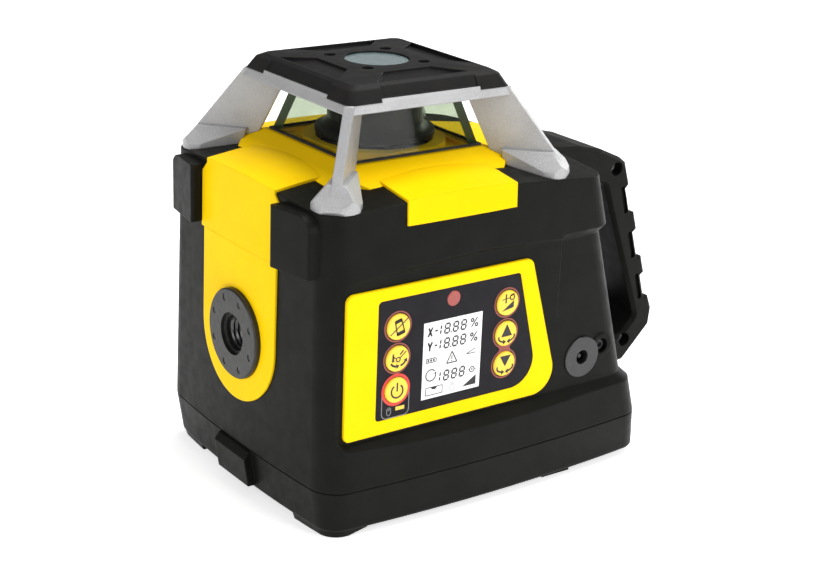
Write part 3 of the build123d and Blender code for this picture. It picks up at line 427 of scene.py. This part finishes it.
def draw_turn_arrows(mesh, x, z, front, back):
    """Two curved arrows on a flattened circle, below the pointer."""
    for start, end in ((160, 248), (292, 380)):
        stroke(mesh, arc(x, z, 4.6, start, end, 14, 0.5), 0.85, front, back)
    arrow_head(mesh, x - 1.9, z - 2.2, 0, 1.7, front, back)
    arrow_head(mesh, x + 1.9, z - 2.2, 180, 1.7, front, back)


def draw_up(mesh, x, z, front, back):
    prism(mesh, [(x - 3.2, z - 1.2), (x + 3.2, z - 1.2), (x, z + 4.8)], front, back)
    draw_turn_arrows(mesh, x, z - 1.6, front, back)


def draw_down(mesh, x, z, front, back):
    prism(mesh, [(x - 3.2, z + 4.2), (x + 3.2, z + 4.2), (x, z - 1.2)], front, back)
    draw_turn_arrows(mesh, x, z - 1.6, front, back)


key_icons = (draw_shock, draw_scan, draw_power, draw_slope, draw_up, draw_down)
membrane_front, membrane_back = membrane_face - print_thick, membrane_face + print_root
pill_front = membrane_face - print_thick * 0.6
rings = bmesh.new()
for name, draw in zip(key_names, key_icons):
    x, z = centre_of(name)
    icon = bmesh.new()
    draw(icon, x, z, key_face - print_thick, key_face + print_root)
    piece_from(icon, f"{name}_icon", print_black, f"{name}_body")
    if name != "key_power":
        ring(rings, x, z, 6.65, 7.35, membrane_front, membrane_back)
# waist that joins the rings of the two arrow keys
up_x, up_z = centre_of("key_up")
down_z = centre_of("key_down")[1]
waist_z = (up_z + down_z) / 2
waist = [(up_x - 4.2, waist_z + 2.2), (up_x - 2.9, waist_z), (up_x - 4.2, waist_z - 2.2)]
waist += [(up_x + 4.2, waist_z - 2.2), (up_x + 2.9, waist_z), (up_x + 4.2, waist_z + 2.2)]
prism(rings, waist, membrane_face - print_thick * 0.9, membrane_back)
piece_from(rings, "key_rings_print", print_red, "instrument")

power_x, power_z = centre_of("key_power")
power_ring = bmesh.new()
ring(power_ring, power_x, power_z, 6.35, 7.75, membrane_front, membrane_back)
piece_from(power_ring, "power_ring_print", print_bright_red, "instrument")

# outline of the pill under the power key, with a hand sign and a small bar in it
pill = bmesh.new()
pill_points = [(power_x - 7.4, power_z - 2.0), (power_x - 7.4, power_z - 9.0)]
pill_points += arc(power_x - 4.6, power_z - 10.4, 2.8, 180, 270, 8)
pill_points += arc(power_x + 4.6, power_z - 10.4, 2.8, 270, 360, 8)
pill_points += [(power_x + 7.4, power_z - 2.0)]
stroke(pill, pill_points, 0.45, pill_front, membrane_back)
piece_from(pill, "pill_outline_print", print_grey, "instrument")


def draw_hand(mesh, x, z, size, width, front, back):
    """Open hand: palm outline and four fingers."""
    palm = [(-1.0, 0.4), (-0.8, -1.2), (-0.2, -1.9), (0.5, -1.9), (1.0, -1.2), (1.3, 0.3)]
    stroke(mesh, [(x + px * size, z + pz * size) for px, pz in palm], width, front, back)
    for px, top in ((-0.75, 1.3), (-0.2, 1.9), (0.35, 1.9), (0.9, 1.4)):
        root, tip = (x + px * size, z + 0.3 * size), (x + px * 1.35 * size, z + top * size)
        stroke(mesh, [root, tip], width, front, back)


hand = bmesh.new()
draw_hand(hand, power_x - 3.6, power_z - 9.9, 1.05, 0.4, pill_front, membrane_back)
piece_from(hand, "pill_hand_print", print_grey, "instrument")
bar = bmesh.new()
prism(bar, rectangle(power_x + 2.6, power_z - 9.3, 2.4, 0.9), pill_front, membrane_back)
piece_from(bar, "pill_bar_print", print_yellow, "instrument")

# ---- display: two slope rows, a warning row, a speed row and a row of signs ----
lcd_width = (lcd_high.x - lcd_low.x) / MM
lcd_height = (lcd_high.z - lcd_low.z) / MM
lean = 0.10                 # how far a digit leans over, per mm of height
thin_line = 0.42
lcd_front, lcd_back = lcd_face - 0.04, lcd_face + print_root
digits = bmesh.new()


def on_display(across, down):
    """Point of the display, from shares of its width and height counted from its top left corner."""
    return lcd_low.x / MM + across * lcd_width, lcd_high.z / MM - down * lcd_height


def segment(mesh, x, z, length, width, upright, low):
    """One bar of a digit, pointed at its ends and leaning with it."""
    half, tip = length / 2 - 0.09, width / 2
    shape = [(-half, 0), (-half + tip, tip), (half - tip, tip),
             (half, 0), (half - tip, -tip), (-half + tip, -tip)]
    points = []
    for along, off in shape:
        px, pz = (x + off, z + along) if upright else (x + along, z + off)
        points.append((px + (pz - low) * lean, pz))
    prism(mesh, points, lcd_front, lcd_back)


def digit(mesh, left, low, width, height, bars="abcdefg"):
    """Seven-bar digit in a box of that width and height."""
    bar = 0.84
    half = height / 2
    places = {
        "a": (width / 2, height, width, False),
        "b": (width, 0.75 * height, half, True),
        "c": (width, 0.25 * height, half, True),
        "d": (width / 2, 0, width, False),
        "e": (0, 0.25 * height, half, True),
        "f": (0, 0.75 * height, half, True),
        "g": (width / 2, half, width, False),
    }
    for name in bars:
        across, up, length, upright = places[name]
        segment(mesh, left + across, low + up, length, bar, upright, low)


def dot(mesh, x, z, radius):
    prism(mesh, arc(x, z, radius, 0, 360, 12)[:-1], lcd_front, lcd_back)


row_height = 4.5
digit_width = 2.55
for down, letter in ((0.185, "X"), (0.375, "Y")):
    low = on_display(0, down)[1]
    letter_x = on_display(0.11, 0)[0]
    if letter == "X":
        stroke(digits, [(letter_x - 1.1, low), (letter_x + 1.3, low + 4.2)], 0.95, lcd_front, lcd_back)
        stroke(digits, [(letter_x + 1.0, low), (letter_x - 0.8, low + 4.2)], 0.95, lcd_front, lcd_back)
    else:
        stroke(digits, [(letter_x, low), (letter_x + 0.15, low + 2.0)], 0.95, lcd_front, lcd_back)
        stroke(digits, [(letter_x + 0.15, low + 1.8), (letter_x + 1.4, low + 4.2)], 0.95, lcd_front, lcd_back)
        stroke(digits, [(letter_x + 0.15, low + 1.8), (letter_x - 0.8, low + 4.2)], 0.95, lcd_front, lcd_back)
    dash_x = on_display(0.215, 0)[0]
    stroke(digits, [(dash_x - 0.7, low + row_height / 2), (dash_x + 0.8, low + row_height / 2)], 0.8,
           lcd_front, lcd_back)
    digit(digits, on_display(0.285, 0)[0], low, 0.0, row_height, "bc")
    for across in (0.355, 0.500, 0.635):
        digit(digits, on_display(across, 0)[0], low, digit_width, row_height)
    dot(digits, on_display(0.467, 0)[0], low + 0.1, 0.4)
    percent_x = on_display(0.855, 0)[0]
    stroke(digits, [(percent_x - 1.3, low + 0.2), (percent_x + 1.9, low + row_height)], 0.65,
           lcd_front, lcd_back)
    ring(digits, percent_x - 0.9, low + 3.5, 0.35, 1.05, lcd_front, lcd_back, 16)
    ring(digits, percent_x + 1.5, low + 1.0, 0.35, 1.05, lcd_front, lcd_back, 16)
speed_low = on_display(0, 0.80)[1]
digit(digits, on_display(0.300, 0)[0], speed_low, 0.0, row_height, "bc")
for across in (0.370, 0.505, 0.640):
    digit(digits, on_display(across, 0)[0], speed_low, digit_width, row_height)
turn_x, turn_z = on_display(0.15, 0.695)
stroke(digits, arc(turn_x, turn_z, 2.75, 40, 370, 32), 0.6, lcd_front, lcd_back)
arrow_head(digits, turn_x + 2.6, turn_z + 0.5, 100, 1.0, lcd_front, lcd_back)

# battery, warning triangle and, at the end of the rows, a tilted bar and a target
cell_x, cell_z = on_display(0.145, 0.50)
cell = [(-2.7, -0.95), (2.3, -0.95), (2.9, -0.4), (2.9, 0.4), (2.3, 0.95), (-2.7, 0.95)]
cell_points = [(cell_x + px, cell_z + pz) for px, pz in cell]
closed_strokes(digits, cell_points, thin_line, lcd_front, lcd_back)
for shift in (-1.5, 0.0, 1.5):
    prism(digits, rectangle(cell_x + shift, cell_z, 0.5, 0.5), lcd_front, lcd_back)
sign_x, sign_z = on_display(0.50, 0.525)
corners = [(sign_x - 2.9, sign_z - 2.3), (sign_x + 2.9, sign_z - 2.3), (sign_x, sign_z + 3.1)]
closed_strokes(digits, corners, 0.6, lcd_front, lcd_back)
stroke(digits, [(sign_x, sign_z + 1.2), (sign_x, sign_z - 0.7)], 0.55, lcd_front, lcd_back)
dot(digits, sign_x, sign_z - 1.45, 0.34)
tilt_x, tilt_z = on_display(0.83, 0.50)
stroke(digits, [(tilt_x - 2.6, tilt_z - 0.9), (tilt_x + 2.6, tilt_z - 0.9)], thin_line, lcd_front, lcd_back)
stroke(digits, [(tilt_x - 2.6, tilt_z - 0.7), (tilt_x + 2.4, tilt_z + 1.2)], thin_line, lcd_front, lcd_back)
target_x, target_z = on_display(0.86, 0.745)
ring(digits, target_x, target_z, 1.05, 1.55, lcd_front, lcd_back, 24)
dot(digits, target_x, target_z, 0.45)
stroke(digits, [(target_x - 2.4, target_z), (target_x - 1.4, target_z)], 0.35, lcd_front, lcd_back)
stroke(digits, [(target_x + 1.4, target_z), (target_x + 2.4, target_z)], 0.35, lcd_front, lcd_back)

# bottom row: vial, hand and wedge
vial_left, vial_low = on_display(0.075, 0.955)
vial_right, vial_top = on_display(0.355, 0.855)
box_points = [(vial_left, vial_low), (vial_right, vial_low), (vial_right, vial_top), (vial_left, vial_top)]
closed_strokes(digits, box_points, thin_line, lcd_front, lcd_back)
bubble_x = (vial_left + vial_right) / 2
prism(digits, [(bubble_x - 2.2, vial_top), (bubble_x - 0.7, vial_top - 1.3), (bubble_x + 0.7, vial_top - 1.3),
               (bubble_x + 2.2, vial_top)], lcd_front, lcd_back)
wedge_left, wedge_low = on_display(0.70, 0.95)
wedge_right, wedge_top = on_display(0.935, 0.825)
prism(digits, [(wedge_left, wedge_low), (wedge_right, wedge_low), (wedge_right, wedge_top)],
      lcd_front, lcd_back)
piece_from(digits, "display_marks", print_black, "instrument")
hand = bmesh.new()
hand_x, hand_z = on_display(0.52, 0.905)
draw_hand(hand, hand_x, hand_z, 1.2, 0.3, lcd_front, lcd_back)
piece_from(hand, "display_hand", print_grey, "instrument")


# ---- turned pieces with real threads and screw heads, in mm ----
bore_step = 0.33            # spacing of the rows along a bore
thread_pitch = 2.309        # 5/8 inch thread with 11 turns to the inch
thread_crest = 6.8
thread_depth = 1.1


def turned(mesh, place, profile, inside, steps=48):
    """Closed ring solid: place turns (radius, angle, along) into a point, in mm.

    profile is the outer outline as (radius, along) from one end to the other, and inside gives the
    bore's radius at an angle and a distance along it.
    """
    start, end = profile[0][1], profile[-1][1]
    count = max(2, int(abs(end - start) / bore_step))
    rows = [[(radius, along)] * steps for radius, along in profile]
    for i in range(count, -1, -1):
        along = start + (end - start) * i / count
        rows.append([(inside(2 * pi * k / steps, along), along) for k in range(steps)])
    made = []
    for row in rows:
        points = [place(radius, 2 * pi * k / steps, along) for k, (radius, along) in enumerate(row)]
        made.append([mesh.verts.new(point) for point in points])
    for a in range(len(made)):
        upper, lower = made[a], made[(a + 1) % len(made)]
        for k in range(steps):
            n = (k + 1) % steps
            mesh.faces.new((upper[k], upper[n], lower[n], lower[k]))


def thread(angle, along):
    """Radius of a threaded bore: smallest on its crests, thread_depth larger in its grooves."""
    turns = along / thread_pitch - angle / (2 * pi)
    return thread_crest + thread_depth * (1.0 - abs(2.0 * (turns % 1.0) - 1.0))


mount_z = centre_of("side_thread_insert")[1]
insert_low, insert_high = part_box("side_thread_insert")
insert_start, insert_end = insert_low.x / MM, insert_high.x / MM


def along_x(radius, angle, along):
    return along * MM, radius * cos(angle) * MM, (mount_z + radius * sin(angle)) * MM


insert = bmesh.new()
turned(insert, along_x, [(10.2, insert_start), (11.0, insert_start + 0.8), (11.0, insert_end)], thread)
insert_piece = piece_from(insert, "side_insert_threaded", slots["insert_steel"], "instrument")
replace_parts(insert_piece, "side_thread_insert")


def along_z(radius, angle, along):
    return radius * cos(angle) * MM, radius * sin(angle) * MM, along * MM


mount_low, mount_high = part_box("bottom_thread_mount")
bottom_plate_top = 3.0
bottom = bmesh.new()
bottom_profile = [(23.2, mount_low.z / MM), (24.0, mount_low.z / MM + 0.8), (24.0, bottom_plate_top),
                  (12.0, bottom_plate_top), (12.0, mount_high.z / MM)]
turned(bottom, along_z, bottom_profile, thread, 64)
bottom_piece = piece_from(bottom, "bottom_mount_threaded", slots["flange_alu"], "instrument")
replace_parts(bottom_piece, "bottom_thread_mount")


def hex_hole(across):
    """Radius of a six-sided hole with that width across its flats."""
    def radius(angle):
        return across / 2 / cos((angle + pi / 6) % (pi / 3) - pi / 6)
    return radius


def screw(mesh, x, y, z, axis, sign, head_r, head, shank_r, length, across, steps=24):
    """Button head screw with a hexagon socket.

    x, y, z is the middle of the head's face and sign points along the axis into the part. head is the
    head's height, length the whole screw's, and across the socket's width across its flats.
    """
    hole = hex_hole(across)
    rows = []
    for radius, depth in ((0.0, 0.62), (1.0, 0.62), (1.0, 0.0)):
        rows.append([(hole(2 * pi * k / steps) * radius, depth * head) for k in range(steps)])
    outline = ((head_r * 0.72, 0.0), (head_r * 0.93, 0.22 * head), (head_r, 0.6 * head), (head_r, head),
               (shank_r, head), (shank_r, length), (0.0, length))
    for radius, depth in outline:
        rows.append([(radius, depth)] * steps)
    made = []
    for row in rows:
        ringed = []
        for k, (radius, depth) in enumerate(row):
            across_1 = radius * cos(2 * pi * k / steps)
            across_2 = radius * sin(2 * pi * k / steps)
            if axis == "z":
                point = (x + across_1, y + across_2, z + sign * depth)
            else:
                point = (x + across_1, y + sign * depth, z + across_2)
            ringed.append(point)
        if row[0][0] == 0.0:
            ringed = ringed[:1]
        made.append([mesh.verts.new(tuple(c * MM for c in point)) for point in ringed])
    for upper, lower in zip(made, made[1:]):
        for k in range(steps):
            n = (k + 1) % steps
            if len(upper) == 1:
                mesh.faces.new((upper[0], lower[n], lower[k]))
            elif len(lower) == 1:
                mesh.faces.new((upper[k], upper[n], lower[0]))
            else:
                mesh.faces.new((upper[k], upper[n], lower[n], lower[k]))


cap_screw_out, cap_screw_z = 15.6, 199.2
handle_screw_places, handle_screw_y = ((136.5, 134.1), (151.5, 37.5)), 16.7
body_screw_x, body_screw_y, body_screw_z = 90.0, 68.2, 63.3
cap_heads = bmesh.new()
for x in (-cap_screw_out, cap_screw_out):
    for y in (-cap_screw_out, cap_screw_out):
        screw(cap_heads, x, y, cap_screw_z, "z", -1,
              head_r=2.6, head=1.6, shank_r=1.4, length=10.0, across=2.4)
cap_screw_piece = piece_from(cap_heads, "cap_screw_set", slots["screw_black"], "instrument")
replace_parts(cap_screw_piece, "cap_screws")
handle_heads = bmesh.new()
for x, z in handle_screw_places:
    for side in (-1, 1):
        screw(handle_heads, x, side * handle_screw_y, z, "y", -side,
              head_r=3.2, head=2.1, shank_r=1.75, length=16.0, across=2.9)
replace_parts(piece_from(handle_heads, "handle_screw_set", slots["screw_steel"], "instrument"),
            "handle_screws")
body_heads = bmesh.new()
for side in (-1, 1):
    screw(body_heads, body_screw_x, side * body_screw_y, body_screw_z, "y", -side,
          head_r=3.4, head=2.0, shank_r=1.7, length=14.0, across=2.9)
body_screw_piece = piece_from(body_heads, "body_screw_set", slots["screw_black"], "instrument")
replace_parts(body_screw_piece, "body_screws")

# sealing bead round the foot of the glass
seal_corner = 1.6           # radius of the bead's corners
seal_section = ((36.0, 162.95), (36.4, 163.35), (36.2, 163.9), (35.2, 164.15), (34.6, 163.9), (34.85, 162.95))
seal = bmesh.new()
seal_rows = []
for half, z in seal_section:
    row = []
    for corner in range(4):
        for step in range(7):
            angle = radians(-90 + 90 * corner + 15 * step)
            centre_angle = radians(-45 + 90 * corner)
            offset = (half - seal_corner) * 2 ** 0.5
            row.append((offset * cos(centre_angle) + seal_corner * cos(angle),
                        offset * sin(centre_angle) + seal_corner * sin(angle), z))
    seal_rows.append([seal.verts.new(tuple(c * MM for c in point)) for point in row])
for a, upper in enumerate(seal_rows):
    lower = seal_rows[(a + 1) % len(seal_rows)]
    for k in range(len(upper)):
        n = (k + 1) % len(upper)
        seal.faces.new((upper[k], upper[n], lower[n], lower[k]))
piece_from(seal, "glass_seal", slots["seal_rubber"], "instrument", True)

# ---- stage ----
reach = 8.0
floor_drop = 0.0002         # keeps the floor just clear of the feet
floor_corners = [(-reach, -reach, 0), (reach, -reach, 0), (reach, reach, 0), (-reach, reach, 0)]
floor_mesh = bpy.data.meshes.new("floor")
floor_mesh.from_pydata(floor_corners, [], [(0, 1, 2, 3)])
floor = bpy.data.objects.new("floor", floor_mesh)
floor.location.z = -floor_drop
scene.collection.objects.link(floor)
floor_look = finish("floor_look", (0.86, 0.86, 0.86), (0.88, 0.88, 0.88), 0.9, patch=400, grain=5,
                    depth=0.0, specular=0.1)
floor_surface = floor_look.node_tree.nodes["Principled BSDF"]
floor_surface.inputs["Emission Color"].default_value = (1, 1, 1, 1)
floor_surface.inputs["Emission Strength"].default_value = 0.62
floor_mesh.materials.append(floor_look)

world = bpy.data.worlds.new("studio")
world.use_nodes = True
world.node_tree.nodes["Background"].inputs["Color"].default_value = (1.0, 1.0, 1.0, 1.0)
world.node_tree.nodes["Background"].inputs["Strength"].default_value = 0.26
scene.world = world


def softbox(name, place, aim, width, height, power):
    light = bpy.data.lights.new(name, "AREA")
    light.shape = "RECTANGLE"
    light.size, light.size_y = width, height
    light.energy = power
    lamp = bpy.data.objects.new(name, light)
    lamp.location = place
    lamp.rotation_euler = (Vector(aim) - Vector(place)).to_track_quat("-Z", "Y").to_euler()
    scene.collection.objects.link(lamp)


middle = (0.02, 0.0, 0.1)
softbox("front_box", (0.55, -1.5, 0.75), middle, 0.9, 0.9, 14)
softbox("left_box", (-1.5, -0.4, 0.7), middle, 0.7, 1.0, 8.5)
softbox("top_box", (0.3, 0.0, 1.4), middle, 0.9, 0.9, 18)
softbox("right_box", (1.4, 0.5, 0.7), middle, 0.4, 1.0, 6)

# ---- camera ----
azimuth, elevation, roll = radians(-36.28), radians(19.96), radians(2.29)
back = Vector((sin(azimuth) * cos(elevation), -cos(azimuth) * cos(elevation), sin(elevation)))
right = Vector((cos(azimuth), sin(azimuth), 0.0))
up = back.cross(right)
turned_right = right * cos(roll) + up * sin(roll)
turned_up = up * cos(roll) - right * sin(roll)
camera_data = bpy.data.cameras.new("camera")
camera_data.sensor_width = 36.0
camera_data.lens = 74.24
camera_data.clip_start = 0.05
camera = bpy.data.objects.new("camera", camera_data)
distance = 0.8443
target = Vector((0.0, 0.0, 0.0446)) + turned_right * 0.02363 + turned_up * 0.03808
turn = Matrix((turned_right, turned_up, back)).transposed()
camera.matrix_world = Matrix.Translation(target + back * distance) @ turn.to_4x4()
scene.collection.objects.link(camera)
scene.camera = camera
scene.view_settings.view_transform = "Standard"
scene.view_settings.look = "None"
